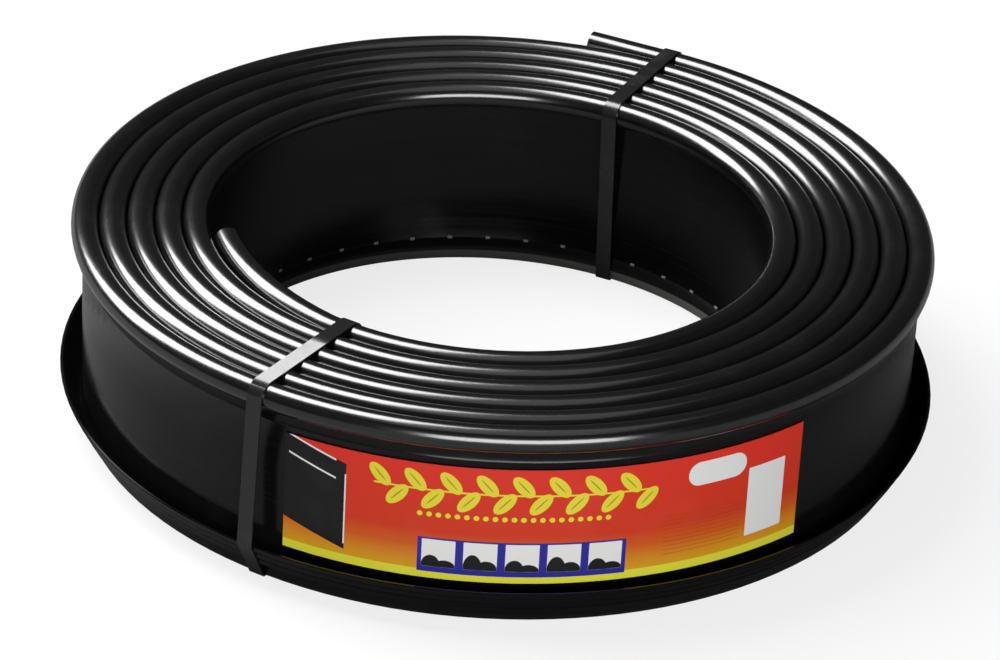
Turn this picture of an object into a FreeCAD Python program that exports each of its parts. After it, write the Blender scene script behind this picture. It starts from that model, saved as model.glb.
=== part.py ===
"""Coil of plastic lawn edging: one extruded strip wound flat, two straps round it, and a paper label.

Lengths are millimetres and angles are degrees. +Z is up, and the origin is on the floor at the
axis of the coil's front turns. The strip stands on its foot, so the coil's axis is along Z.
Seen from above, the strip winds outward anticlockwise from its free inner end on the left.

The spiral is drawn with two centres. The front half turns are arcs about the origin and the
back half turns are arcs about a centre half a pitch to the left, so every turn joins the next
one smoothly at the two sides. Where turns lie against each other they form one turned body:
the round beads show on its top and the flared foot of each turn shows underneath.
"""

import FreeCAD, Part
import math
import os

import Sketcher

Vector = FreeCAD.Vector
UP = Vector(0, 0, 1)

SIZES = [
    ("strip_height", 101.6, "foot to the top of the bead, 4 in"),
    ("bead_diameter", 13.0, "outside of the round bead"),
    ("bead_wall", 1.5, "wall of the hollow bead"),
    ("web_thickness", 1.8, "thickness of the web"),
    ("flare_reach", 11.6, "middle of the web to the rim of the flared foot"),
    ("flare_height", 20.5, "height of that rim above the foot"),
    ("flare_edge", 1.7, "width of the rim's level edge"),
    ("inner_radius", 135.6, "coil axis to the innermost turn's web"),
    ("turn_pitch", 13.4, "distance from one turn's web to the next"),
    ("front_strap_angle", 239.0, "direction of the front strap"),
    ("back_strap_angle", 65.0, "direction of the back strap"),
    ("tail_bend_radius", 60.0, "tight bend where the inner end leaves the coil"),
    ("tail_radius", 165.0, "long flat arc of the free inner end"),
    ("tail_angle", 33.5, "turn made by that arc"),
    ("tail_ease", 0.3, "extra turn of the bend, so that the tip clears the next turn"),
    ("tip_length", 45.0, "straight free outer end past the back strap"),
    ("strap_width", 8.0, "width of a strap"),
    ("strap_thickness", 0.6, "thickness of a strap"),
    ("strap_play", 0.25, "clearance between a strap and the strip"),
    ("strap_margin", 1.0, "how far the turns stay together past the front strap"),
    ("label_angle", 242.8, "direction of the label's left edge"),
    ("label_length", 254.0, "length of the label round the coil, 10 in"),
    ("label_bottom", 20.0, "label's lower edge above the foot"),
    ("label_gap", 8.6, "label's upper edge below the bead"),
    ("label_thickness", 0.3, "thickness of the label"),
    ("label_play", 0.2, "clearance between the label and the web"),
]
TURNS = 6  # turns that cross the right-hand side

doc = FreeCAD.newDocument("edging_coil")
sheet = doc.addObject("Spreadsheet::Sheet", "Sizes")
for row, (alias, size, note) in enumerate(SIZES, start=1):
    sheet.set(f"A{row}", note)
    sheet.set(f"B{row}", str(size))
    sheet.setAlias(f"B{row}", alias)
doc.recompute()


def size(alias):
    return float(sheet.get(alias))


# Formulas over the sheet that several pieces share.
BEAD_RADIUS = "Sizes.bead_diameter / 2"
BEAD_HEIGHT = f"(Sizes.strip_height - {BEAD_RADIUS})"
HALF_WEB = "Sizes.web_thickness / 2"
LIFT = "(Sizes.strap_thickness + Sizes.strap_play)"
BACK_CENTRE = "(0 - Sizes.turn_pitch / 2)"
STRAP_ARC = "(asin((Sizes.strap_width / 2 + Sizes.strap_margin) / Sizes.inner_radius) / 1 deg)"
TAIL_ANGLE = f"(Sizes.front_strap_angle - {STRAP_ARC})"

# The flat arc starts and ends as far out as the innermost turn, and the bend turns it that far in.
TAIL_REACH = "(asin(Sizes.tail_radius / Sizes.inner_radius * sin(Sizes.tail_angle / 2)) / 1 deg)"
TAIL_BEND = (
    f"(({TAIL_REACH} - Sizes.tail_angle / 2) / (1 - Sizes.tail_bend_radius / Sizes.inner_radius)"
    " + Sizes.tail_ease)"
)


def front_radius(turn):
    return f"(Sizes.inner_radius + {turn} * Sizes.turn_pitch)"


def back_radius(turn):
    return f"(Sizes.inner_radius + {turn + 0.5} * Sizes.turn_pitch)"


# Sketches
def bind(sketch, name, kind, where, formula, start):
    """Add a named dimension to a sketch and tie it to the sheet."""
    index = sketch.addConstraint(Sketcher.Constraint(kind, *where, start))
    sketch.renameConstraint(index, name)
    sketch.setExpression(f"Constraints.{name}", formula)


def relate(sketch, kind, *where):
    sketch.addConstraint(Sketcher.Constraint(kind, *where))


def upright_sketch(name):
    """A sketch in the XZ plane: its own x is outward and its own y is up."""
    sketch = doc.addObject("Sketcher::SketchObject", name)
    sketch.Placement = FreeCAD.Placement(Vector(0, 0, 0), FreeCAD.Rotation(Vector(1, 0, 0), 90))
    return sketch


def draw_loop(sketch, corners, arc_after, arc):
    """Lines from corner to corner, with an arc in place of the line after corner arc_after."""
    count = len(corners)
    for i, corner in enumerate(corners):
        following = corners[(i + 1) % count]
        if i == arc_after:
            sketch.addGeometry(arc, False)
        else:
            sketch.addGeometry(Part.LineSegment(Vector(*corner), Vector(*following)), False)
    for i in range(count):
        relate(sketch, "Coincident", i, 2, (i + 1) % count, 1)


def strip_section(name, filled):
    """The strip's section, from the foot up to the bead.

    With filled set, the room from this turn's web to the next one is part of the section: the
    flared foot stays open underneath and the beads stay round on top.
    """
    radius = size("bead_diameter") / 2
    centre = size("strip_height") - radius
    half = size("web_thickness") / 2
    reach = size("flare_reach")
    rim = size("flare_height")
    edge = size("flare_edge")
    pitch = size("turn_pitch")
    neck = math.acos(half / radius)
    neck_height = centre - radius * math.sin(neck)
    root = edge * rim / (reach - half)
    sketch = upright_sketch(name)
    foot = [(-half, 0, 0), (half, 0, 0), (reach, rim, 0)]
    if filled:
        corners = foot + [(pitch, rim, 0), (pitch, centre, 0), (radius, centre, 0)]
        start = 0.0
    else:
        corners = foot + [(reach - edge, rim, 0), (half, root, 0), (half, neck_height, 0)]
        start = -neck
    corners.append((-half, neck_height, 0))
    circle = Part.Circle(Vector(0, centre, 0), Vector(0, 0, 1), radius)
    draw_loop(sketch, corners, 5, Part.ArcOfCircle(circle, start, math.pi + neck))

    relate(sketch, "PointOnObject", 0, 1, -1)
    relate(sketch, "PointOnObject", 0, 2, -1)
    bind(sketch, "web_inside", "DistanceX", (0, 1, -1, 1), HALF_WEB, half)
    bind(sketch, "web_outside", "DistanceX", (-1, 1, 0, 2), HALF_WEB, half)
    bind(sketch, "rim_reach", "DistanceX", (-1, 1, 1, 2), "Sizes.flare_reach", reach)
    bind(sketch, "rim_height", "DistanceY", (-1, 1, 1, 2), "Sizes.flare_height", rim)
    relate(sketch, "Horizontal", 2)
    if filled:
        bind(sketch, "next_web", "DistanceX", (-1, 1, 2, 2), "Sizes.turn_pitch", pitch)
        relate(sketch, "Vertical", 3)
        relate(sketch, "Horizontal", 4)
        relate(sketch, "Horizontal", 5, 1, 5, 3)
    else:
        bind(sketch, "rim_edge", "DistanceX", (2, 2, 2, 1), "Sizes.flare_edge", edge)
        relate(sketch, "Parallel", 1, 3)
        relate(sketch, "Vertical", 3, 2, 0, 2)
        relate(sketch, "Vertical", 4)
    relate(sketch, "Vertical", 6)
    relate(sketch, "PointOnObject", 5, 3, -2)
    bind(sketch, "bead_height", "DistanceY", (-1, 1, 5, 3), BEAD_HEIGHT, centre)
    bind(sketch, "bead_radius", "Radius", (5,), BEAD_RADIUS, radius)
    return sketch


def bore_section(name):
    """The round hole of the hollow bead."""
    sketch = upright_sketch(name)
    radius = size("bead_diameter") / 2
    centre = size("strip_height") - radius
    bore = radius - size("bead_wall")
    sketch.addGeometry(Part.Circle(Vector(0, centre, 0), Vector(0, 0, 1), bore), False)
    relate(sketch, "PointOnObject", 0, 3, -2)
    bind(sketch, "bead_height", "DistanceY", (-1, 1, 0, 3), BEAD_HEIGHT, centre)
    bind(sketch, "bore_radius", "Radius", (0,), f"{BEAD_RADIUS} - Sizes.bead_wall", bore)
    return sketch


# Stretches of strip
def put(piece, x, y, angle):
    """Stand a stretch at x, y on the straps, its outward side turned to the given angle."""
    piece.Placement = FreeCAD.Placement(Vector(0, 0, 0), FreeCAD.Rotation(UP, 10))
    piece.setExpression("Placement.Base.x", x)
    piece.setExpression("Placement.Base.y", y)
    piece.setExpression("Placement.Base.z", LIFT)
    piece.setExpression("Placement.Rotation.Angle", angle)


def arc_stretch(name, sketch, radius, sweep, start, centre):
    """The sketch turned anticlockwise by sweep about centre, from the angle start."""
    piece = doc.addObject("Part::Revolution", name)
    piece.Source = sketch
    piece.Axis = UP
    piece.Solid = True
    piece.Symmetric = False
    piece.setExpression("Base.x", f"0 - {radius}")
    piece.setExpression("Angle", sweep)
    put(piece, f"{centre[0]} + {radius} * cos({start})", f"{centre[1]} + {radius} * sin({start})", start)
    return piece


def straight_stretch(name, sketch, length, radius, angle, centre):
    """The sketch drawn straight along the coil's tangent at the given angle."""
    piece = doc.addObject("Part::Extrusion", name)
    piece.Base = sketch
    piece.DirMode = "Custom"
    piece.Dir = Vector(0, 1, 0)
    piece.Solid = True
    piece.setExpression("LengthFwd", length)
    put(piece, f"{centre[0]} + {radius} * cos({angle})", f"{centre[1]} + {radius} * sin({angle})", angle)
    return piece


plain = strip_section("StripSection", False)
packed = strip_section("PackedSection", True)
bore = bore_section("BeadBore")
doc.recompute()

FRONT = ("0", "0")
BACK = (BACK_CENTRE, "0")
last = TURNS - 1
stretches = []

# Front half turns: the innermost one is held only from the front strap on, the outermost is plain.
stretches.append(
    arc_stretch("Front0", packed, front_radius(0), f"360 - {TAIL_ANGLE}", TAIL_ANGLE, FRONT)
)
for turn in range(1, last):
    stretches.append(arc_stretch(f"Front{turn}", packed, front_radius(turn), "180", "180", FRONT))
stretches.append(arc_stretch(f"Front{last}", plain, front_radius(last), "180", "180", FRONT))

# Back half turns: the last full one is plain past the back strap, where the outer end leaves it.
for turn in range(last - 1):
    stretches.append(arc_stretch(f"Back{turn}", packed, back_radius(turn), "180", "0", BACK))
covered = "Sizes.back_strap_angle"
held = back_radius(last - 1)
stretches.append(arc_stretch("BackHeld", packed, held, covered, "0", BACK))
stretches.append(arc_stretch("BackPlain", plain, held, f"180 - {covered}", covered, BACK))
stretches.append(arc_stretch("BackOuter", plain, back_radius(last), covered, "0", BACK))
stretches.append(
    straight_stretch("OuterEnd", plain, "Sizes.tip_length", back_radius(last), covered, BACK)
)

# The free inner end runs back from the front strap: a short tight bend, then a long flat arc.
bend = "Sizes.tail_bend_radius"
bend_start = f"({TAIL_ANGLE} - {TAIL_BEND})"
bend_shift = f"(Sizes.inner_radius - {bend})"
bend_centre = (f"{bend_shift} * cos({TAIL_ANGLE})", f"{bend_shift} * sin({TAIL_ANGLE})")
tail_shift = f"(Sizes.tail_radius - {bend})"
tail_centre = tuple(
    f"({middle} - {tail_shift} * {turned}({bend_start}))"
    for middle, turned in zip(bend_centre, ("cos", "sin"))
)
tail_start = f"({bend_start} - Sizes.tail_angle)"


def tail_stretches(sketch, label):
    """The two arcs of the free inner end, with the given section."""
    tight = arc_stretch(f"{label}Bend", sketch, bend, TAIL_BEND, bend_start, bend_centre)
    flat = arc_stretch(
        f"{label}Arc", sketch, "Sizes.tail_radius", "Sizes.tail_angle", tail_start, tail_centre
    )
    return [tight, flat]


stretches += tail_stretches(plain, "InnerEnd")

# The bead's bore is open at both free ends.
bores = tail_stretches(bore, "InnerBore")
bores.append(
    straight_stretch("OuterBore", bore, "Sizes.tip_length", back_radius(last), covered, BACK)
)

wound = doc.addObject("Part::MultiFuse", "WoundTurns")
wound.Shapes = stretches
drilled = doc.addObject("Part::MultiFuse", "Bores")
drilled.Shapes = bores
strip = doc.addObject("Part::Cut", "Strip")
strip.Base = wound
strip.Tool = drilled
strip.Refine = True
strip.Label = "edging_strip"
doc.recompute()


# Straps and label
def plane_of(body, role):
    return next(plane for plane in body.Origin.OriginFeatures if plane.Role == role)


def new_body(name, label, centre_x, angle):
    """A body whose XZ plane stands upright through the coil, its x pointing outward at angle."""
    body = doc.addObject("PartDesign::Body", name)
    body.Label = label
    body.Placement = FreeCAD.Placement(Vector(0, 0, 0), FreeCAD.Rotation(UP, 10))
    body.setExpression("Placement.Base.x", centre_x)
    body.setExpression("Placement.Rotation.Angle", angle)
    sketch = body.newObject("Sketcher::SketchObject", f"{name}Profile")
    sketch.AttachmentSupport = [(plane_of(body, "XZ_Plane"), "")]
    sketch.MapMode = "FlatFace"
    return body, sketch


def hull_loop(sketch, discs, label):
    """A taut loop round discs given in order as (x formula, height formula, radius formula, x, height, radius)."""
    first = sketch.GeometryCount
    count = len(discs)
    turned = []
    for i, disc in enumerate(discs):
        following = discs[(i + 1) % count]
        across = following[3] - disc[3]
        rise = following[4] - disc[4]
        away = math.atan2(rise, across) - math.pi / 2
        turned.append(away + math.asin((following[5] - disc[5]) / math.hypot(across, rise)) * -1)
    for i, disc in enumerate(discs):
        following = discs[(i + 1) % count]
        circle = Part.Circle(Vector(disc[3], disc[4], 0), Vector(0, 0, 1), disc[5])
        sketch.addGeometry(Part.ArcOfCircle(circle, turned[i - 1], turned[i]), False)
        way = Vector(math.cos(turned[i]), math.sin(turned[i]), 0)
        begin = Vector(disc[3], disc[4], 0) + way * disc[5]
        end = Vector(following[3], following[4], 0) + way * following[5]
        sketch.addGeometry(Part.LineSegment(begin, end), False)
    for i, disc in enumerate(discs):
        arc = first + 2 * i
        bind(sketch, f"{label}_x{i}", "DistanceX", (-1, 1, arc, 3), disc[0], disc[3])
        bind(sketch, f"{label}_z{i}", "DistanceY", (-1, 1, arc, 3), disc[1], disc[4])
        bind(sketch, f"{label}_r{i}", "Radius", (arc,), disc[2], disc[5])
        relate(sketch, "Tangent", arc, 2, arc + 1, 1)
        relate(sketch, "Tangent", arc + 1, 2, first + (2 * i + 2) % (2 * count), 1)


def strap(name, label, centre_x, angle, inner, outer, inner_value, outer_value):
    """A flat strap pulled tight round all the turns, from the beads down to the foot."""
    body, sketch = new_body(name, label, centre_x, angle)
    lift = size("strap_thickness") + size("strap_play")
    radius = size("bead_diameter") / 2
    half = size("web_thickness") / 2
    bead = size("strip_height") - radius + lift
    corners = [
        (f"{inner} - {HALF_WEB}", LIFT, "0", inner_value - half, lift, 0.0),
        (f"{outer} + {HALF_WEB}", LIFT, "0", outer_value + half, lift, 0.0),
        (
            f"{outer} + Sizes.flare_reach",
            f"{LIFT} + Sizes.flare_height",
            "0",
            outer_value + size("flare_reach"),
            lift + size("flare_height"),
            0.0,
        ),
        (f"{outer}", f"{BEAD_HEIGHT} + {LIFT}", BEAD_RADIUS, outer_value, bead, radius),
        (f"{inner}", f"{BEAD_HEIGHT} + {LIFT}", BEAD_RADIUS, inner_value, bead, radius),
    ]
    play = size("strap_play")
    layers = [
        ("inside", "Sizes.strap_play", play),
        ("outside", LIFT, lift),
    ]
    for layer, formula, offset in layers:
        discs = [
            (x, z, f"{grow} + {formula}", x_value, z_value, grow_value + offset)
            for x, z, grow, x_value, z_value, grow_value in corners
        ]
        hull_loop(sketch, discs, layer)
    pad = body.newObject("PartDesign::Pad", f"{name}Width")
    pad.Profile = sketch
    pad.SideType = "Symmetric"
    pad.setExpression("Length", "Sizes.strap_width")
    return body


pitch = size("turn_pitch")
first_radius = size("inner_radius")
front_strap = strap(
    "FrontStrap",
    "front_strap",
    "0",
    "Sizes.front_strap_angle",
    front_radius(0),
    front_radius(last),
    first_radius,
    first_radius + last * pitch,
)
back_strap = strap(
    "BackStrap",
    "back_strap",
    BACK_CENTRE,
    "Sizes.back_strap_angle",
    back_radius(0),
    back_radius(last),
    first_radius + pitch / 2,
    first_radius + (last + 0.5) * pitch,
)

label, label_sketch = new_body("Label", "label", "0", "Sizes.label_angle")
label_inside = f"{front_radius(last)} + {HALF_WEB} + Sizes.label_play"
near = first_radius + last * pitch + size("web_thickness") / 2 + size("label_play")
far = near + size("label_thickness")
low = size("strap_thickness") + size("strap_play") + size("label_bottom")
high = low - size("label_bottom") + size("strip_height") - size("bead_diameter") - size("label_gap")
for begin, end in [
    ((near, low), (far, low)),
    ((far, low), (far, high)),
    ((far, high), (near, high)),
    ((near, high), (near, low)),
]:
    label_sketch.addGeometry(Part.LineSegment(Vector(*begin, 0), Vector(*end, 0)), False)
for i in range(4):
    relate(label_sketch, "Coincident", i, 2, (i + 1) % 4, 1)
    relate(label_sketch, "Vertical" if i % 2 else "Horizontal", i)
bind(label_sketch, "inside", "DistanceX", (-1, 1, 0, 1), label_inside, near)
bind(label_sketch, "thickness", "DistanceX", (0, 1, 0, 2), "Sizes.label_thickness", far - near)
bind(label_sketch, "bottom", "DistanceY", (-1, 1, 0, 1), f"{LIFT} + Sizes.label_bottom", low)
label_height = "Sizes.strip_height - Sizes.bead_diameter - Sizes.label_gap - Sizes.label_bottom"
bind(label_sketch, "height", "DistanceY", (1, 1, 1, 2), label_height, high - low)
wrap = label.newObject("PartDesign::Revolution", "LabelWrap")
wrap.Profile = label_sketch
wrap.ReferenceAxis = (label_sketch, ["V_Axis"])
wrap.setExpression("Angle", f"Sizes.label_length / ({label_inside}) * 180 / pi")
doc.recompute()


# Checks and files
for thing in doc.Objects:
    if "Invalid" in thing.State or "Error" in thing.State:
        raise RuntimeError(f"{thing.Label} did not compute: {thing.State}")

os.makedirs("parts", exist_ok=True)
for piece in (strip, front_strap, back_strap, label):
    shape = piece.Shape
    if shape.isNull() or not shape.isValid():
        raise RuntimeError(f"{piece.Label} has no valid shape")
    box = shape.BoundBox
    print(
        f"{piece.Label}: {len(shape.Solids)} solid, {len(shape.Faces)} faces, {shape.Volume:.0f} mm3,",
        f"x {box.XMin:.2f}..{box.XMax:.2f}, y {box.YMin:.2f}..{box.YMax:.2f}, z {box.ZMin:.2f}..{box.ZMax:.2f}",
    )
    shape.exportStep(f"parts/{piece.Label}.step")
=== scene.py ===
import bmesh
import bpy
import math
from mathutils import Matrix, Vector


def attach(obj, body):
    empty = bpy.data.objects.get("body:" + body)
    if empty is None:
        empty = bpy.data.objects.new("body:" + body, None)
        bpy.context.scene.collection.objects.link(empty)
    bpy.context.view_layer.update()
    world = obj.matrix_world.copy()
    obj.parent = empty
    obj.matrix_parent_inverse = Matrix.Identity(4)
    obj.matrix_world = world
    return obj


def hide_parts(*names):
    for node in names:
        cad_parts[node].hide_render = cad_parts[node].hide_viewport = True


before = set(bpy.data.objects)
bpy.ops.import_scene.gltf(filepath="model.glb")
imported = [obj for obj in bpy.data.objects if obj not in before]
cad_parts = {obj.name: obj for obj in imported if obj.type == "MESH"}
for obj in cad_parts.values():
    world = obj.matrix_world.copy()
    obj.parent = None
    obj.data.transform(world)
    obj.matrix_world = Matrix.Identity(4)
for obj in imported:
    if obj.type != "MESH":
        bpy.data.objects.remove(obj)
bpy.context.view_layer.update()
print("frame loaded:", ", ".join(sorted(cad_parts)))

mm = 0.001


# Helpers for shader trees
def addNode(tree, kind, links=None, **settings):
    # links says what goes into each input: a socket or a plain value
    node = tree.nodes.new(kind)
    for name, value in settings.items():
        setattr(node, name, value)
    for key, value in (links or {}).items():
        if isinstance(value, bpy.types.NodeSocket):
            tree.links.new(value, node.inputs[key])
        else:
            node.inputs[key].default_value = value
    return node


def calculate(tree, operation, *values, clamp=False):
    node = addNode(tree, "ShaderNodeMath", dict(enumerate(values)), operation=operation, use_clamp=clamp)
    return node.outputs[0]


def smoothStep(tree, value, low, high, toLow=0.0, toHigh=1.0):
    node = addNode(
        tree,
        "ShaderNodeMapRange",
        {"Value": value, "From Min": low, "From Max": high, "To Min": toLow, "To Max": toHigh},
        interpolation_type="SMOOTHSTEP",
    )
    return node.outputs["Result"]


def mixColour(tree, factor, first, second):
    node = addNode(tree, "ShaderNodeMix", {0: factor, 6: first, 7: second}, data_type="RGBA")
    return node.outputs[2]


def joinVector(tree, x, y):
    return addNode(tree, "ShaderNodeCombineXYZ", {0: x, 1: y}).outputs[0]


def newGroup(name, inputs, outputs):
    group = bpy.data.node_groups.new(name, "ShaderNodeTree")
    for socketName, value in inputs.items():
        kind = "NodeSocketVector" if value is None else "NodeSocketFloat"
        socket = group.interface.new_socket(socketName, in_out="INPUT", socket_type=kind)
        if value is not None:
            socket.default_value = value
    for socketName in outputs:
        group.interface.new_socket(socketName, in_out="OUTPUT", socket_type="NodeSocketFloat")
    return group, group.nodes.new("NodeGroupInput").outputs, group.nodes.new("NodeGroupOutput").inputs


def useGroup(tree, group, links):
    node = tree.nodes.new("ShaderNodeGroup")
    node.node_tree = group
    for key, value in links.items():
        if isinstance(value, bpy.types.NodeSocket):
            tree.links.new(value, node.inputs[key])
        else:
            node.inputs[key].default_value = value
    return node.outputs


def newMaterial(name):
    material = bpy.data.materials.new(name)
    material.use_nodes = True
    return material, material.node_tree, material.node_tree.nodes["Principled BSDF"]


# Effects that several materials share
def makeExtrusionLines():
    # fine lines that the die draws along plastic, and slow waves across it, from a UV in metres
    group, given, result = newGroup(
        "extrusionLines",
        {"UV": None, "Lines per Metre": 700.0, "Run": 3.0, "Waviness": 0.5},
        ["Height", "Streaks"],
    )
    part = addNode(group, "ShaderNodeSeparateXYZ", {0: given["UV"]}).outputs
    along = calculate(group, "MULTIPLY", part[0], given["Run"])
    across = calculate(group, "MULTIPLY", part[1], given["Lines per Metre"])
    fine = {"Vector": joinVector(group, along, across), "Scale": 1.0, "Detail": 3.0}
    lines = addNode(group, "ShaderNodeTexNoise", fine).outputs["Fac"]
    farAlong = calculate(group, "MULTIPLY", along, 5.0)
    farAcross = calculate(group, "MULTIPLY", across, 0.04)
    slow = {"Vector": joinVector(group, farAlong, farAcross), "Scale": 1.0, "Detail": 1.0}
    waves = addNode(group, "ShaderNodeTexNoise", slow).outputs["Fac"]
    swell = calculate(group, "MULTIPLY", waves, given["Waviness"])
    height = calculate(group, "ADD", calculate(group, "MULTIPLY", lines, 0.12), swell)
    group.links.new(height, result["Height"])
    group.links.new(smoothStep(group, lines, 0.35, 0.7), result["Streaks"])
    return group


def makeHandlingWear():
    # dust in blots, and short light scuffs where the blots are
    group, given, result = newGroup(
        "handlingWear",
        {"Vector": None, "Blot Scale": 26.0, "Scuff Scale": 70.0, "Amount": 0.5},
        ["Dust", "Scuffs"],
    )
    blotLinks = {"Vector": given["Vector"], "Scale": given["Blot Scale"], "Detail": 6.0, "Roughness": 0.62}
    blots = addNode(group, "ShaderNodeTexNoise", blotLinks).outputs
    dust = smoothStep(group, blots["Fac"], 0.48, 0.78)
    group.links.new(calculate(group, "MULTIPLY", dust, given["Amount"]), result["Dust"])
    bent = addNode(group, "ShaderNodeVectorMath", {0: given["Vector"], 1: blots["Color"]}, operation="ADD")
    squeezed = addNode(
        group,
        "ShaderNodeMapping",
        {"Vector": bent.outputs[0], "Scale": (1.0, 1.0, 5.0), "Rotation": (0.5, 0.2, 0.0)},
    )
    scratchLinks = {"Vector": squeezed.outputs[0], "Scale": given["Scuff Scale"], "Detail": 2.0}
    scratches = addNode(group, "ShaderNodeTexNoise", scratchLinks).outputs["Fac"]
    off = calculate(group, "ABSOLUTE", calculate(group, "SUBTRACT", scratches, 0.5))
    thin = smoothStep(group, off, 0.0, 0.012, 1.0, 0.0)
    where = smoothStep(group, blots["Fac"], 0.5, 0.7)
    scuffs = calculate(group, "MULTIPLY", thin, where)
    group.links.new(calculate(group, "MULTIPLY", scuffs, given["Amount"]), result["Scuffs"])
    return group


def makePrintedBlock():
    # mask of a block with round corners, in the units of the vector
    group, given, result = newGroup(
        "printedBlock",
        {"Vector": None, "Centre X": 0.0, "Centre Y": 0.0, "Half Width": 1.0, "Half Height": 1.0,
         "Corner": 0.2, "Edge": 0.15},
        ["Mask"],
    )
    part = addNode(group, "ShaderNodeSeparateXYZ", {0: given["Vector"]}).outputs
    squares = []
    for place, centre, half in ((part[0], "Centre X", "Half Width"), (part[1], "Centre Y", "Half Height")):
        off = calculate(group, "ABSOLUTE", calculate(group, "SUBTRACT", place, given[centre]))
        straight = calculate(group, "SUBTRACT", given[half], given["Corner"])
        past = calculate(group, "MAXIMUM", calculate(group, "SUBTRACT", off, straight), 0.0)
        squares.append(calculate(group, "MULTIPLY", past, past))
    reach = calculate(group, "SQRT", calculate(group, "ADD", *squares))
    inside = calculate(group, "SUBTRACT", given["Corner"], reach)
    group.links.new(calculate(group, "DIVIDE", inside, given["Edge"], clamp=True), result["Mask"])
    return group


def makePrintedOval():
    # mask of an oval turned by an angle in radians
    group, given, result = newGroup(
        "printedOval",
        {"Vector": None, "Centre X": 0.0, "Centre Y": 0.0, "Half Width": 1.0, "Half Height": 1.0,
         "Turn": 0.0},
        ["Mask"],
    )
    centre = joinVector(group, given["Centre X"], given["Centre Y"])
    turn = {"Vector": given["Vector"], "Center": centre, "Angle": given["Turn"]}
    turned = addNode(group, "ShaderNodeVectorRotate", turn, rotation_type="Z_AXIS").outputs[0]
    part = addNode(group, "ShaderNodeSeparateXYZ", {0: turned}).outputs
    squares = []
    for place, middle, half in ((part[0], "Centre X", "Half Width"), (part[1], "Centre Y", "Half Height")):
        share = calculate(group, "DIVIDE", calculate(group, "SUBTRACT", place, given[middle]), given[half])
        squares.append(calculate(group, "MULTIPLY", share, share))
    reach = calculate(group, "SQRT", calculate(group, "ADD", *squares))
    group.links.new(smoothStep(group, reach, 0.97, 1.03, 1.0, 0.0), result["Mask"])
    return group


extrusionLines = makeExtrusionLines()
handlingWear = makeHandlingWear()
printedBlock = makePrintedBlock()
printedOval = makePrintedOval()


# Edging strip: its section drawn once, then wound with spins from the free inner end outward.
# Sizes are in mm and degrees, as in the part's source.
strip = {
    "height": 101.6,
    "beadRadius": 6.5,
    "beadWall": 1.5,
    "halfWeb": 0.9,
    "lipReach": 11.6,
    "lipHeight": 20.5,
    "lipEdge": 1.7,
    "innerRadius": 135.6,
    "pitch": 13.4,
    "wholeTurns": 5,
    "frontStrapAngle": 239.0,
    "backStrapAngle": 65.0,
    "strapWidth": 8.0,
    "strapMargin": 1.0,
    "bendRadius": 60.0,
    "tailRadius": 165.0,
    "tailAngle": 33.5,
    "tailEase": 0.3,
    "tipLength": 45.0,
    "lift": 0.85,          # strap and play under the foot
    "beadSegments": 28,
    "boreSegments": 16,
    "stepAngle": 3.0,      # turn of one step in the wound turns
    "ribPlaces": (0.86, 0.66, 0.46),    # ribs under the flare, as shares of its slope
    "ribProud": 0.35,
    "ribTop": 0.3,
    "ribBase": 0.7,
    "ridgeHeight": 12.3,   # thin ridge low on the inner face
    "ridgeProud": 0.5,
    "ridgeTop": 0.4,
    "ridgeBase": 1.0,
    "tickPitch": 20.0,     # dents along that ridge
    "lineHeight": 83.5,    # fine raised line high on the outer face
    "lineProud": 0.22,
    "lineTop": 0.25,
    "lineBase": 0.6,
    "neckEase": 0.5,       # how the bead runs into the web
    "neckDrop": 1.2,
    "webMiddle": 60.0,     # points here keep the web's faces from growing too long
    "gutter": ((0.0, 8.0), (0.5, 5.6), (1.2, 5.0)),    # corner between web and flare: outward, up
    "toeProud": 0.35,      # thicker inner edge of the foot
    "toeHeight": 5.5,
    "toeEase": 0.8,
}


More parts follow.
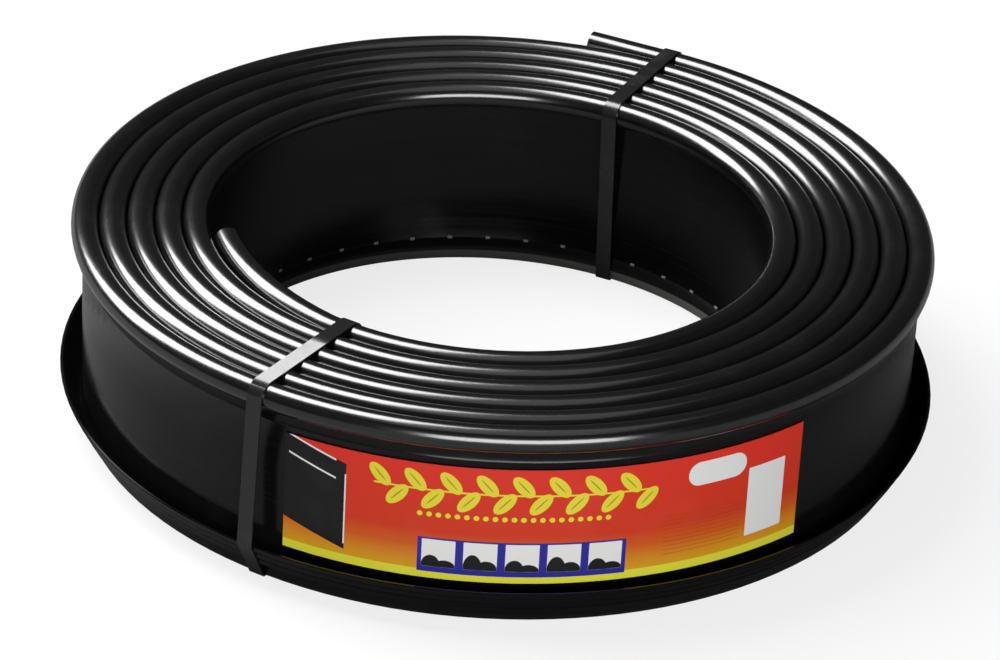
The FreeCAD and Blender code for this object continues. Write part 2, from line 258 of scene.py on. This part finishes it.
def drawSection(bm, across):
    beadHeight = strip["height"] - strip["beadRadius"]
    upright = Matrix.Translation((0, 0, beadHeight)) @ Matrix.Rotation(math.radians(90), 4, "X")
    bead = bmesh.ops.create_circle(
        bm, segments=strip["beadSegments"], radius=strip["beadRadius"], matrix=upright
    )["verts"]
    lowest = min(bead, key=lambda vert: vert.co.z)
    ends = sorted((edge.other_vert(lowest) for edge in lowest.link_edges), key=lambda vert: vert.co.x)
    bmesh.ops.delete(bm, geom=[lowest], context="VERTS")
    half, reach, rim, edge = strip["halfWeb"], strip["lipReach"], strip["lipHeight"], strip["lipEdge"]
    neck = beadHeight - strip["beadRadius"]
    slope = Vector((reach - half, 0, rim)).normalized()
    proud = Vector((slope.z, 0, -slope.x)) * strip["ribProud"]
    foot, tip = Vector((half, 0, 0)), Vector((reach, 0, rim))
    ease, drop = strip["neckEase"], strip["neckDrop"]
    points = [ends[1].co + Vector((-ease, 0, -ease)), Vector((half, 0, neck - drop))]
    # outer face: the fine line, the web, the corner
    line, rise, top, base = strip["lineHeight"], strip["lineProud"], strip["lineTop"], strip["lineBase"]
    points += [Vector((half, 0, line + base)), Vector((half + rise, 0, line + top))]
    points += [Vector((half + rise, 0, line - top)), Vector((half, 0, line - base))]
    points += [Vector((half, 0, strip["webMiddle"]))]
    points += [Vector((half + outward, 0, up)) for outward, up in strip["gutter"]]
    # the flare's free edge, with its corners eased, then its ribs from the edge down to the foot
    points += [Vector((reach - edge, 0, rim - 0.7)), Vector((reach - edge + 0.25, 0, rim - 0.1))]
    points += [Vector((reach - 0.3, 0, rim)), tip + Vector((0, 0, -0.4))]
    top, base = slope * strip["ribTop"], slope * strip["ribBase"]
    for share in strip["ribPlaces"]:
        at = foot.lerp(tip, share)
        points += [at + base, at + top + proud, at - top + proud, at - base]
    points += [foot + slope * 0.6, foot + Vector((-0.3, 0, 0)), Vector((-half + 0.3, 0, 0))]
    # inner face: the foot's inner edge, the ridge, the web
    inner, toe = -half - strip["toeProud"], strip["toeHeight"]
    points += [Vector((inner, 0, 0.5)), Vector((inner, 0, toe)), Vector((-half, 0, toe + strip["toeEase"]))]
    ridge, crest = strip["ridgeHeight"], -half - strip["ridgeProud"]
    top, base = strip["ridgeTop"], strip["ridgeBase"]
    points += [Vector((-half, 0, ridge - base)), Vector((crest, 0, ridge - top))]
    points += [Vector((crest, 0, ridge + top)), Vector((-half, 0, ridge + base))]
    points += [Vector((-half, 0, strip["webMiddle"])), Vector((-half, 0, neck - drop))]
    points += [ends[0].co + Vector((ease, 0, -ease))]
    chain = [ends[1]] + [bm.verts.new(point) for point in points] + [ends[0]]
    for first, second in zip(chain, chain[1:]):
        bm.edges.new((first, second))
    # the distance round the section is kept for the UV map, with the places of bead, ridge and foot
    slack = 0.01
    walked, vert, last = 0.0, chain[0], None
    marks = {}
    while True:
        vert[across] = walked
        if vert is chain[-1]:
            marks["bead"] = walked
        elif vert.co.x < crest + slack and ridge < vert.co.z < ridge + base:
            marks["ridge"] = walked - top
        elif vert.co.x < inner + slack and vert.co.z < toe + slack:
            marks["footTop" if vert.co.z > toe / 2 else "foot"] = walked
        following = next(
            (link.other_vert(vert) for link in vert.link_edges if link.other_vert(vert) is not last), None
        )
        if last is None:
            following = chain[1]
        walked += (following.co - vert.co).length
        if following is chain[0]:
            break
        last, vert = vert, following
    bore = bmesh.ops.create_circle(
        bm, segments=strip["boreSegments"], radius=strip["beadRadius"] - strip["beadWall"], matrix=upright
    )["verts"]
    for vert in bore:
        vert[across] = walked
    marks["girth"] = walked
    return marks


def windStrip():
    bm = bmesh.new()
    across = bm.verts.layers.float.new("across")
    along = bm.verts.layers.float.new("along")
    marks = drawSection(bm, across)
    girth = marks["girth"]
    count = len(bm.verts)

    # where each stretch turns about, and how far: the free inner end, the turns, the outer end
    tailStart = strip["frontStrapAngle"] - math.degrees(
        math.asin((strip["strapWidth"] / 2 + strip["strapMargin"]) / strip["innerRadius"])
    )
    halfTail = math.radians(strip["tailAngle"] / 2)
    swing = math.asin(strip["tailRadius"] / strip["innerRadius"] * math.sin(halfTail))
    share = 1 - strip["bendRadius"] / strip["innerRadius"]
    bendAngle = (math.degrees(swing) - strip["tailAngle"] / 2) / share + strip["tailEase"]
    leave = Vector((math.cos(math.radians(tailStart)), math.sin(math.radians(tailStart)), 0))
    bendCentre = leave * (strip["innerRadius"] - strip["bendRadius"])
    bendStart = math.radians(tailStart - bendAngle)
    flat = Vector((math.cos(bendStart), math.sin(bendStart), 0))
    tailCentre = bendCentre - flat * (strip["tailRadius"] - strip["bendRadius"])
    start = math.degrees(bendStart) - strip["tailAngle"]
    backCentre = Vector((-strip["pitch"] / 2, 0, 0))
    stretches = [
        (tailCentre, strip["tailAngle"], strip["tailRadius"]),
        (bendCentre, bendAngle, strip["bendRadius"]),
        (Vector(), 360 - tailStart, strip["innerRadius"]),
    ]
    for turn in range(strip["wholeTurns"]):
        stretches.append((backCentre, 180, strip["innerRadius"] + (turn + 0.5) * strip["pitch"]))
        stretches.append((Vector(), 180, strip["innerRadius"] + (turn + 1) * strip["pitch"]))
    outerRadius = strip["innerRadius"] + (strip["wholeTurns"] + 0.5) * strip["pitch"]
    stretches.append((backCentre, strip["backStrapAngle"], outerRadius))

    # the section stands at the inner end first
    outward = Vector((math.cos(math.radians(start)), math.sin(math.radians(start)), 0))
    place = Matrix.Translation(tailCentre + outward * strip["tailRadius"] + Vector((0, 0, strip["lift"])))
    place = place @ Matrix.Rotation(math.radians(start), 4, "Z")
    bmesh.ops.transform(bm, matrix=place, verts=bm.verts)
    firstEdges = list(bm.edges)
    edges = firstEdges
    walked = 0.0
    for centre, angle, radius in stretches:
        steps = max(3, round(angle / strip["stepAngle"]))
        before = len(bm.verts)
        ends = sorted({vert for edge in edges for vert in edge.verts}, key=lambda vert: vert.index)
        made = bmesh.ops.spin(
            bm, geom=ends + edges, cent=centre, axis=(0, 0, 1), angle=math.radians(angle), steps=steps
        )["geom_last"]
        edges = [item for item in made if isinstance(item, bmesh.types.BMEdge)]
        bm.verts.ensure_lookup_table()
        bm.verts.index_update()
        for vert in bm.verts[before:]:
            step = (vert.index - before) // count + 1
            vert[along] = walked + radius * math.radians(angle) * step / steps
        walked += radius * math.radians(angle)
    # the free outer end runs straight on
    way = math.radians(strip["backStrapAngle"] + 90)
    extruded = bmesh.ops.extrude_edge_only(bm, edges=edges)["geom"]
    tipVerts = [item for item in extruded if isinstance(item, bmesh.types.BMVert)]
    run = Vector((math.cos(way), math.sin(way), 0)) * strip["tipLength"]
    bmesh.ops.translate(bm, verts=tipVerts, vec=run)
    for vert in tipVerts:
        vert[along] = walked + strip["tipLength"]
    lastEdges = [item for item in extruded if isinstance(item, bmesh.types.BMEdge)]
    lastEdges = [edge for edge in lastEdges if all(vert in set(tipVerts) for vert in edge.verts)]
    print(f"strip wound: {walked + strip['tipLength']:.0f} mm, {len(bm.faces)} faces")

    uv = bm.loops.layers.uv.new("stripUV")
    for face in bm.faces:
        places = [loop.vert[across] for loop in face.loops]
        wraps = max(places) - min(places) > girth / 2
        for loop, at in zip(face.loops, places):
            if wraps and at < girth / 2:
                at += girth
            loop[uv].uv = (loop.vert[along] * mm, at * mm)
    for cut in (firstEdges, lastEdges):
        bmesh.ops.triangle_fill(bm, edges=cut, use_beauty=True)
    bmesh.ops.scale(bm, vec=(mm, mm, mm), verts=bm.verts)
    bmesh.ops.recalc_face_normals(bm, faces=bm.faces)
    for face in bm.faces:
        face.smooth = True
    mesh = bpy.data.meshes.new("woundStrip")
    bm.to_mesh(mesh)
    bm.free()
    mesh.set_sharp_from_angle(angle=math.radians(50))
    piece = bpy.data.objects.new("woundStrip", mesh)
    bpy.context.scene.collection.objects.link(piece)
    return piece, marks


# Its plastic. The web is nearly matt and the bead glossy; the gloss and the pale greys (a painted
# reflection on the foot's edge, painted glints on the ridge's dents) are set to the photograph's
# brightness.
plastic = {
    "black": (0.003, 0.003, 0.0033, 1),
    "streak": (0.005, 0.005, 0.0054, 1),
    "dust": (0.2, 0.19, 0.18, 1),
    "scuff": (0.16, 0.16, 0.165, 1),
    # painted glint on the dents along the ridge
    "dentAndPaintedGlint": (0.5, 0.5, 0.5, 1),
    # painted reflection of the floor on the foot's inner edge
    "paintedFootSheen": (0.28, 0.27, 0.25, 1),
    "webSpecular": 0.4,
    "webRoughness": 0.16,
    "beadIOR": 1.8,
    "beadRoughness": 0.2,
}


def makeStripPlastic(marks):
    material, tree, surface = newMaterial("blackExtrudedPlastic")
    uv = addNode(tree, "ShaderNodeUVMap", uv_map="stripUV").outputs[0]
    spot = addNode(tree, "ShaderNodeTexCoord").outputs["Object"]
    lines = useGroup(tree, extrusionLines, {
        "UV": uv, "Lines per Metre": 900.0, "Run": 2.5, "Waviness": 0.35})
    wear = useGroup(tree, handlingWear, {
        "Vector": spot, "Blot Scale": 22.0, "Scuff Scale": 90.0, "Amount": 0.35})
    colour = mixColour(tree, lines["Streaks"], plastic["black"], plastic["streak"])
    colour = mixColour(tree, calculate(tree, "MULTIPLY", wear["Dust"], 0.03), colour, plastic["dust"])
    colour = mixColour(tree, calculate(tree, "MULTIPLY", wear["Scuffs"], 0.12), colour, plastic["scuff"])
    # ticks along the ridge: dents in the bump, and a pale painted glint on them in the colour
    part = addNode(tree, "ShaderNodeSeparateXYZ", {0: uv}).outputs
    off = calculate(tree, "ABSOLUTE", calculate(tree, "SUBTRACT", part[1], marks["ridge"] * mm))
    onRidge = smoothStep(tree, off, 0.7 * mm, 1.1 * mm, 1.0, 0.0)
    count = calculate(tree, "DIVIDE", part[0], strip["tickPitch"] * mm)
    beside = calculate(tree, "PINGPONG", count, 0.5)
    dentAndPaintedGlint = calculate(tree, "MULTIPLY", onRidge, smoothStep(tree, beside, 0.04, 0.075, 1.0, 0.0))
    colour = mixColour(tree, calculate(tree, "MULTIPLY", dentAndPaintedGlint, 0.75), colour, plastic["dentAndPaintedGlint"])
    # the foot's inner edge is painted a lighter grey: a painted reflection of the floor
    low = smoothStep(tree, part[1], (marks["foot"] - 0.6) * mm, marks["foot"] * mm)
    high = smoothStep(tree, part[1], (marks["footTop"] - 1.2) * mm, marks["footTop"] * mm, 1.0, 0.0)
    paintedFootSheen = calculate(tree, "MULTIPLY", calculate(tree, "MULTIPLY", low, high), 0.6)
    colour = mixColour(tree, paintedFootSheen, colour, plastic["paintedFootSheen"])
    tree.links.new(colour, surface.inputs["Base Color"])
    rough = calculate(tree, "MULTIPLY_ADD", lines["Streaks"], 0.05, plastic["webRoughness"])
    rough = calculate(tree, "MULTIPLY_ADD", wear["Dust"], 0.3, rough)
    rough = calculate(tree, "MULTIPLY_ADD", wear["Scuffs"], 0.3, rough)
    tree.links.new(rough, surface.inputs["Roughness"])
    surface.inputs["Specular IOR Level"].default_value = plastic["webSpecular"]
    # only the bead has the glossy coat
    skin = smoothStep(tree, part[1], marks["bead"] * mm, (marks["bead"] + 1.5) * mm)
    tree.links.new(skin, surface.inputs["Coat Weight"])
    surface.inputs["Coat IOR"].default_value = plastic["beadIOR"]
    surface.inputs["Coat Roughness"].default_value = plastic["beadRoughness"]
    height = calculate(tree, "MULTIPLY_ADD", dentAndPaintedGlint, 2.0, lines["Height"])
    bump = addNode(tree, "ShaderNodeBump", {"Height": height, "Strength": 0.2, "Distance": 0.0004})
    tree.links.new(bump.outputs[0], surface.inputs["Normal"])
    return material


woundStrip, stripMarks = windStrip()
woundStrip.data.materials.append(makeStripPlastic(stripMarks))
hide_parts("edging_strip")
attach(woundStrip, "root")
print("strip plastic set")


# Straps: the CAD loops, with the finish of flat drawn strapping. Places in metres, waffle in mm.
# The shading normal of the front strap's top leans about 32 degrees over the outer turns. That is a
# device, set so that it mirrors the softbox and looks pale there; the mesh stays flat.
strap = {
    "black": (0.011, 0.011, 0.012, 1),
    "dust": (0.03, 0.03, 0.031, 1),
    "scuff": (0.09, 0.09, 0.095, 1),
    "waffle": 1.1,
    "roughness": 0.24,
    "lean": (-0.43, -0.45, 0.0),
    "leanFrom": 0.152,
    "leanFull": 0.166,
    "topFrom": 0.1018,
    "topFull": 0.1024,
}


def makeStrapPlastic():
    material, tree, surface = newMaterial("blackStrapPlastic")
    spot = addNode(tree, "ShaderNodeTexCoord").outputs["Object"]
    wear = useGroup(tree, handlingWear, {
        "Vector": spot, "Blot Scale": 60.0, "Scuff Scale": 160.0, "Amount": 0.5})
    colour = mixColour(tree, wear["Dust"], strap["black"], strap["dust"])
    colour = mixColour(tree, wear["Scuffs"], colour, strap["scuff"])
    tree.links.new(colour, surface.inputs["Base Color"])
    rough = calculate(tree, "MULTIPLY_ADD", wear["Dust"], 0.25, strap["roughness"])
    tree.links.new(rough, surface.inputs["Roughness"])
    waffle = addNode(tree, "ShaderNodeTexVoronoi", {"Vector": spot, "Scale": 1 / (strap["waffle"] * mm)})
    bump = addNode(tree, "ShaderNodeBump", {
        "Height": waffle.outputs["Distance"], "Strength": 0.12, "Distance": 0.0002})
    # where the normal leans: outer turns, top face, front half
    part = addNode(tree, "ShaderNodeSeparateXYZ", {0: spot}).outputs
    flat = joinVector(tree, part[0], part[1])
    reach = addNode(tree, "ShaderNodeVectorMath", {0: flat}, operation="LENGTH").outputs["Value"]
    outer = smoothStep(tree, reach, strap["leanFrom"], strap["leanFull"])
    front = smoothStep(tree, part[1], -0.05, 0.0, 1.0, 0.0)
    onTop = smoothStep(tree, part[2], strap["topFrom"], strap["topFull"])
    share = calculate(tree, "MULTIPLY", calculate(tree, "MULTIPLY", outer, onTop), front)
    scaled = {0: strap["lean"], "Scale": share}
    lean = addNode(tree, "ShaderNodeVectorMath", scaled, operation="SCALE").outputs[0]
    added = {0: bump.outputs[0], 1: lean}
    leaning = addNode(tree, "ShaderNodeVectorMath", added, operation="ADD").outputs[0]
    normal = addNode(tree, "ShaderNodeVectorMath", {0: leaning}, operation="NORMALIZE").outputs[0]
    tree.links.new(normal, surface.inputs["Normal"])
    surface.inputs["Specular IOR Level"].default_value = 1.0
    return material


strapPlastic = makeStrapPlastic()
for name in ("front_strap", "back_strap"):
    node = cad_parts[name]
    for slot in node.material_slots:
        slot.material = strapPlastic
print("straps finished")


# Label: a printed sheet wrapped on the outermost web. Sizes are in mm and degrees.
label = {
    "angle": 242.8,
    "length": 254.0,
    "bottom": 20.0,
    "height": 60.0,
    "thickness": 0.3,
    "play": 0.2,
    "steps": 75,
}
labelTurn = strip["innerRadius"] + strip["wholeTurns"] * strip["pitch"]
labelRadius = labelTurn + strip["halfWeb"] + label["play"]
labelSpan = label["length"] / labelRadius


def wrapLabel():
    bm = bmesh.new()
    low = strip["lift"] + label["bottom"]
    high = low + label["height"]
    inner, outer = labelRadius, labelRadius + label["thickness"]
    places = ((inner, 0, low), (outer, 0, low), (outer, 0, high), (inner, 0, high))
    corners = [bm.verts.new(place) for place in places]
    face = bm.faces.new(corners)
    bmesh.ops.rotate(
        bm, verts=bm.verts, cent=(0, 0, 0), matrix=Matrix.Rotation(math.radians(label["angle"]), 3, "Z")
    )
    bmesh.ops.spin(
        bm,
        geom=[face] + list(face.edges) + corners,
        cent=(0, 0, 0),
        axis=(0, 0, 1),
        angle=labelSpan,
        steps=label["steps"],
    )
    bmesh.ops.remove_doubles(bm, verts=bm.verts, dist=0.01)
    uv = bm.loops.layers.uv.new("labelUV")
    for face in bm.faces:
        for loop in face.loops:
            x, y, z = loop.vert.co
            turned = math.degrees(math.atan2(y, x)) % 360 - label["angle"]
            loop[uv].uv = (math.radians(turned) * outer, z - low)
    bmesh.ops.scale(bm, vec=(mm, mm, mm), verts=bm.verts)
    bmesh.ops.recalc_face_normals(bm, faces=bm.faces)
    for face in bm.faces:
        face.smooth = True
    mesh = bpy.data.meshes.new("wrappedLabel")
    bm.to_mesh(mesh)
    bm.free()
    mesh.set_sharp_from_angle(angle=math.radians(30))
    piece = bpy.data.objects.new("wrappedLabel", mesh)
    bpy.context.scene.collection.objects.link(piece)
    return piece


# The print, in mm from the label's lower left corner. A block is centre x, centre y, width, height
# and corner radius.
artwork = {
    "bottomEdge": 4.4,
    "slant": 0.3,          # fall of the dark end's top and bottom
    "darkEnd": (14.5, 30, 33, 70, 0.5),
    "darkEndRise": (16.5, 61.5),
    "slantLines": (61.0, 51.5),
    "slantLineReach": (14, 40, 24, 70, 0.5),
    "uprightLine": (30.6, 28.5, 0.9, 37, 0.3),
    "stem": (109, 46.5, 130, 1.1, 0.5),
    "leaves": 16,
    "firstLeaf": 47,
    "leafPitch": 8.2,
    "leafHeights": (51.0, 42.0),
    "leafSize": (13.5, 6.8),
    "veinSize": (8.5, 0.7),
    "leafTilt": 48,
    "dots": 21,
    "firstDot": 66,
    "dotPitch": 4.3,
    "dotHeight": 33.8,
    "dotSize": 2.6,
    "band": (113.5, 12.4, 96, 18.4, 0.5),
    "windows": 5,
    "firstWindow": 75.3,
    "windowPitch": 19.1,
    "window": (13.4, 15.6, 14.6, 0.4),                 # centre y, width, height, corner
    "hills": ((-3.4, 9.0, 13.0), (3.0, 10.0, 8.0)),    # sideways, width, height
    "hillFoot": 6.4,
    "hillSwing": (0.9, 1.2),
    "badge": (205.5, 49.6, 31, 12.6, 6.2),
    "panel": (233.5, 27.3, 21.5, 36.6, 0.6),
    "hatch": (199, 19.5, 40, 22, 0.3),
    "hatchPitch": 1.1,
}
inks = {
    "white": (0.85, 0.85, 0.84, 1),
    "black": (0.005, 0.005, 0.006, 1),
    "navy": (0.02, 0.02, 0.3, 1),
    "yellow": (0.82, 0.72, 0.04, 1),
    "lemon": (0.8, 0.78, 0.05, 1),
    "vein": (0.5, 0.3, 0.02, 1),
    "hatch": (0.25, 0.06, 0.01, 1),
    "scuff": (0.75, 0.7, 0.65, 1),
    # the ground fades from yellow at the bottom to red at the top
    "fade": (
        (0.0, (0.78, 0.46, 0.015, 1)),
        (0.15, (0.7, 0.28, 0.01, 1)),
        (0.28, (0.66, 0.11, 0.006, 1)),
        (0.42, (0.66, 0.04, 0.008, 1)),
        (1.0, (0.76, 0.03, 0.015, 1)),
    ),
}


def makeLabelPrint():
    material, tree, surface = newMaterial("printedLabelPaper")
    uv = addNode(tree, "ShaderNodeUVMap", uv_map="labelUV").outputs[0]
    spot = addNode(tree, "ShaderNodeTexCoord").outputs["Object"]
    part = addNode(tree, "ShaderNodeSeparateXYZ", {0: uv}).outputs

    def block(centreX, centreY, width, height, corner=0.4):
        return useGroup(tree, printedBlock, {
            "Vector": uv, "Centre X": centreX, "Centre Y": centreY, "Half Width": width / 2,
            "Half Height": height / 2, "Corner": corner, "Edge": 0.2})["Mask"]

    def oval(centreX, centreY, width, height, turn=0.0):
        return useGroup(tree, printedOval, {
            "Vector": uv, "Centre X": centreX, "Centre Y": centreY, "Half Width": width / 2,
            "Half Height": height / 2, "Turn": math.radians(turn)})["Mask"]

    def lay(mask, ink):
        return mixColour(tree, mask, colour, inks[ink])

    fade = addNode(tree, "ShaderNodeValToRGB", {0: calculate(tree, "DIVIDE", part[1], label["height"])})
    elements = fade.color_ramp.elements
    while len(elements) < len(inks["fade"]):
        elements.new(0.5)
    for element, (place, shade) in zip(elements, inks["fade"]):
        element.position = place
        element.color = shade
    colour = fade.outputs[0]

    # yellow edge along the bottom
    edge = artwork["bottomEdge"]
    colour = lay(smoothStep(tree, part[1], edge - 0.2, edge + 0.2, 1.0, 0.0), "lemon")
    # dark end at the left, slanting at its top and bottom, with two plain lines and an upright one
    slanted = calculate(tree, "ADD", part[1], calculate(tree, "MULTIPLY", part[0], artwork["slant"]))
    bottom, top = artwork["darkEndRise"]
    under = calculate(tree, "GREATER_THAN", slanted, bottom)
    below = calculate(tree, "LESS_THAN", slanted, top)
    between = calculate(tree, "MULTIPLY", under, below)
    colour = lay(calculate(tree, "MULTIPLY", between, block(*artwork["darkEnd"])), "black")
    for rise in artwork["slantLines"]:
        off = calculate(tree, "ABSOLUTE", calculate(tree, "SUBTRACT", slanted, rise))
        thin = smoothStep(tree, off, 0.35, 0.6, 1.0, 0.0)
        colour = lay(calculate(tree, "MULTIPLY", thin, block(*artwork["slantLineReach"])), "white")
    colour = lay(block(*artwork["uprightLine"]), "white")
    # a garland of leaves on a thin stem, over a row of dots
    colour = lay(block(*artwork["stem"]), "yellow")
    for leaf in range(artwork["leaves"]):
        lower = leaf % 2
        at = artwork["firstLeaf"] + artwork["leafPitch"] * leaf
        high = artwork["leafHeights"][lower]
        tilt = -artwork["leafTilt"] if lower else artwork["leafTilt"]
        colour = lay(oval(at, high, *artwork["leafSize"], tilt), "yellow")
        colour = lay(oval(at, high, *artwork["veinSize"], tilt), "vein")
    for dot in range(artwork["dots"]):
        at = artwork["firstDot"] + artwork["dotPitch"] * dot
        colour = lay(oval(at, artwork["dotHeight"], artwork["dotSize"], artwork["dotSize"]), "yellow")
    # a dark band with plain windows, and rounded hills in them
    colour = lay(block(*artwork["band"]), "navy")
    for number in range(artwork["windows"]):
        at = artwork["firstWindow"] + artwork["windowPitch"] * number
        window = block(at, *artwork["window"])
        colour = lay(window, "white")
        for side, width, tall in artwork["hills"]:
            tall *= artwork["hillSwing"][number % 2]
            hill = oval(at + side, artwork["hillFoot"], width, tall)
            colour = lay(calculate(tree, "MULTIPLY", hill, window), "black")
    # bare badge and bare panel at the right, and fine hatching
    colour = lay(block(*artwork["badge"]), "white")
    colour = lay(block(*artwork["panel"]), "white")
    saw = calculate(tree, "PINGPONG", part[1], artwork["hatchPitch"])
    lined = calculate(tree, "MULTIPLY", smoothStep(tree, saw, 0.75, 0.95), block(*artwork["hatch"]))
    colour = lay(calculate(tree, "MULTIPLY", lined, 0.35), "hatch")

    wear = useGroup(tree, handlingWear, {
        "Vector": spot, "Blot Scale": 40.0, "Scuff Scale": 110.0, "Amount": 0.3})
    colour = lay(calculate(tree, "MULTIPLY", wear["Scuffs"], 0.4), "scuff")
    tree.links.new(colour, surface.inputs["Base Color"])
    rough = calculate(tree, "MULTIPLY_ADD", wear["Dust"], 0.3, 0.42)
    tree.links.new(rough, surface.inputs["Roughness"])
    fine = {"Vector": spot, "Scale": 900.0, "Detail": 4.0}
    fibres = addNode(tree, "ShaderNodeTexNoise", fine).outputs["Fac"]
    wide = {"Vector": spot, "Scale": 28.0, "Detail": 1.0}
    ripple = addNode(tree, "ShaderNodeTexNoise", wide).outputs["Fac"]
    height = calculate(tree, "MULTIPLY_ADD", ripple, 6.0, fibres)
    bump = addNode(tree, "ShaderNodeBump", {"Height": height, "Strength": 0.15, "Distance": 0.0002})
    tree.links.new(bump.outputs[0], surface.inputs["Normal"])
    return material


wrappedLabel = wrapLabel()
wrappedLabel.data.materials.append(makeLabelPrint())
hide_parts("label")
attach(wrappedLabel, "root")
print("label printed")


# Floor and light. The floor glows for the camera alone, so that it looks white and lights nothing.
ground = {"size": 6.0, "grey": 0.17, "roughness": 0.9, "glow": 0.8}
targetHeight = 0.05        # lights and camera look at this height over the coil's middle

# A softbox is seen from the coil at an azimuth and elevation in degrees; sizes in metres, power in watts
softboxes = {
    "backLeftSoftbox": {
        "azimuth": 151, "elevation": 50, "distance": 2.6, "width": 1.6, "height": 3.1, "power": 135},
    "overheadPanel": {
        "azimuth": 270, "elevation": 84, "distance": 2.2, "width": 1.8, "height": 1.8, "power": 4},
    "frontFill": {
        "azimuth": 278, "elevation": 12, "distance": 2.4, "width": 2.0, "height": 1.0, "power": 41},
}


def makeFloor():
    bm = bmesh.new()
    bmesh.ops.create_grid(bm, x_segments=1, y_segments=1, size=ground["size"])
    mesh = bpy.data.meshes.new("paleFloor")
    bm.to_mesh(mesh)
    bm.free()
    floor = bpy.data.objects.new("paleFloor", mesh)
    bpy.context.scene.collection.objects.link(floor)
    material, tree, surface = newMaterial("paleFloorPaint")
    path = addNode(tree, "ShaderNodeLightPath").outputs
    surface.inputs["Base Color"].default_value = (ground["grey"], ground["grey"], ground["grey"], 1)
    surface.inputs["Roughness"].default_value = ground["roughness"]
    surface.inputs["Specular IOR Level"].default_value = 0.0
    surface.inputs["Emission Color"].default_value = (1, 1, 1, 1)
    glow = calculate(tree, "MULTIPLY", path["Is Camera Ray"], ground["glow"])
    tree.links.new(glow, surface.inputs["Emission Strength"])
    mesh.materials.append(material)


def addSoftbox(name, azimuth, elevation, distance, width, height, power):
    lamp = bpy.data.lights.new(name, "AREA")
    lamp.shape = "RECTANGLE"
    lamp.size, lamp.size_y = width, height
    lamp.energy = power
    turn, rise = math.radians(azimuth), math.radians(elevation)
    way = Vector((math.cos(turn) * math.cos(rise), math.sin(turn) * math.cos(rise), math.sin(rise)))
    box = bpy.data.objects.new(name, lamp)
    box.location = Vector((0, 0, targetHeight)) + way * distance
    box.rotation_euler = way.to_track_quat("Z", "Y").to_euler()
    bpy.context.scene.collection.objects.link(box)


def makeWorld():
    # white to the camera, nearly dark to the coil
    lit, seen = 0.03, 1.0
    world = bpy.data.worlds.new("paleRoom")
    bpy.context.scene.world = world
    world.use_nodes = True
    tree = world.node_tree
    path = addNode(tree, "ShaderNodeLightPath").outputs
    background = tree.nodes["Background"]
    background.inputs["Color"].default_value = (1, 1, 1, 1)
    strength = calculate(tree, "MULTIPLY_ADD", path["Is Camera Ray"], seen - lit, lit)
    tree.links.new(strength, background.inputs["Strength"])


# Camera: fitted to the photograph. Focal length and middle of view in the picture's pixels, distance
# in metres, angles in degrees
view = {
    "pictureWidth": 1000,
    "pictureHeight": 660,
    "focal": 4558.4,
    "elevation": 29.08,
    "distance": 2.23375,
    "centreX": 499.17,
    "centreY": 308.39,
    "roll": 3.15,
    "sensorWidth": 36.0,
    "clipEnd": 50,
}


def placeCamera():
    camera = bpy.data.cameras.new("photoCamera")
    camera.sensor_width = view["sensorWidth"]
    camera.lens = view["focal"] * view["sensorWidth"] / view["pictureWidth"]
    camera.shift_x = (view["pictureWidth"] / 2 - view["centreX"]) / view["pictureWidth"]
    camera.shift_y = (view["centreY"] - view["pictureHeight"] / 2) / view["pictureWidth"]
    camera.clip_end = view["clipEnd"]
    tilt = math.radians(view["elevation"])
    back = Vector((0, -math.cos(tilt), math.sin(tilt)))
    facing = back.to_track_quat("Z", "Y").to_matrix().to_4x4()
    rolled = facing @ Matrix.Rotation(math.radians(view["roll"]), 4, "Z")
    place = Matrix.Translation(Vector((0, 0, targetHeight)) + back * view["distance"])
    cameraObject = bpy.data.objects.new("photoCamera", camera)
    cameraObject.matrix_world = place @ rolled
    bpy.context.scene.collection.objects.link(cameraObject)
    bpy.context.scene.camera = cameraObject


makeFloor()
for boxName, settings in softboxes.items():
    addSoftbox(boxName, **settings)
makeWorld()
placeCamera()
bpy.context.scene.view_settings.view_transform = "Standard"
print("stage set")
